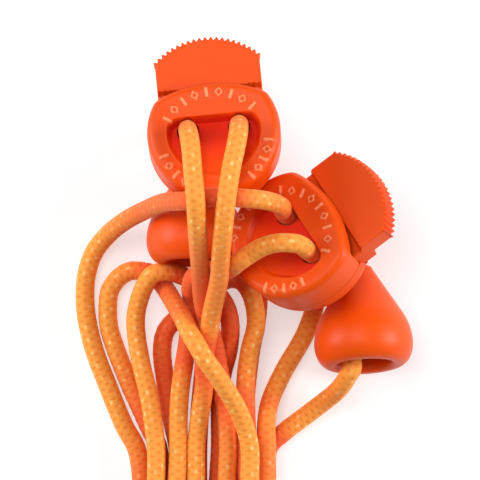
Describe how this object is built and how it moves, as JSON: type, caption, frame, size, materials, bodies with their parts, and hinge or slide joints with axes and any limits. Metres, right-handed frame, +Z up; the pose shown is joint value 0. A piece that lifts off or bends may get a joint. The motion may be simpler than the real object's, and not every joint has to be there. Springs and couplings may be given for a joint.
{
  "type": "no-tie elastic shoe laces",
  "caption": "Elastic round laces with spring cord locks and bell-shaped cord ends, folded into a strapped hank.",
  "frame": {"origin": "under the middle of the box round the two locks and the two cord ends, on the surface they lie on", "axes": "+Z up; +Y from the hank towards the first lock's button; +X to the right"},
  "size_m": [0.0532, 0.166, 0.0306],
  "materials": {
    "lock_plastic": "injection-moulded orange nylon, semi-gloss with a fine moulded grain",
    "grip_plastic": "darker orange moulded nylon",
    "lace": "braided elastic with pale reflective flecks",
    "tip_plastic": "clear heat-shrunk lace tip",
    "strap": "black hook-and-loop strap",
    "spring_steel": "bright drawn spring wire"
  },
  "bodies": {
    "root": {"lock_a_rear_shell": "lock_plastic", "lock_a_front_cover": "lock_plastic", "lock_a_spring": "spring_steel", "lock_b_rear_shell": "lock_plastic", "lock_b_front_cover": "lock_plastic", "lock_b_spring": "spring_steel", "cord_end_left_shell": "lock_plastic", "cord_end_left_grip": "grip_plastic", "cord_end_right_shell": "lock_plastic", "cord_end_right_grip": "grip_plastic", "lace_a_front_left": "lace", "lace_a_front_right": "lace", "lace_a_arch": "lace", "lace_a_tail": "lace", "lace_b_front_left": "lace", "lace_b_front_right": "lace", "lace_b_arch_left": "lace", "lace_b_arch_right": "lace", "lace_b_tail": "lace", "lace_b_end": "lace", "lace_a_end": "lace", "lace_a_short_tail": "lace", "lace_b_short_tail": "lace", "lace_b_hank": "lace", "lace_a_hank": "lace", "aglet_a": "tip_plastic", "aglet_b": "tip_plastic", "hank_strap": "strap"},
    "button_a": {"lock_a_button": "lock_plastic"},
    "button_b": {"lock_b_button": "lock_plastic"}
  },
  "joints": [
    {"name": "button_a_press", "type": "slide", "parent": "root", "child": "button_a", "axis": [0.093, -0.9658, 0.2419], "range_m": [0, 0.004], "stiffness_N_per_m": 250, "springref_m": -0.004, "deforming": ["lock_a_spring"]},
    {"name": "button_b_press", "type": "slide", "parent": "root", "child": "button_b", "axis": [-0.7888, -0.5944, -0.1564], "range_m": [0, 0.004], "stiffness_N_per_m": 250, "springref_m": -0.004, "deforming": ["lock_b_spring"]}
  ]
}
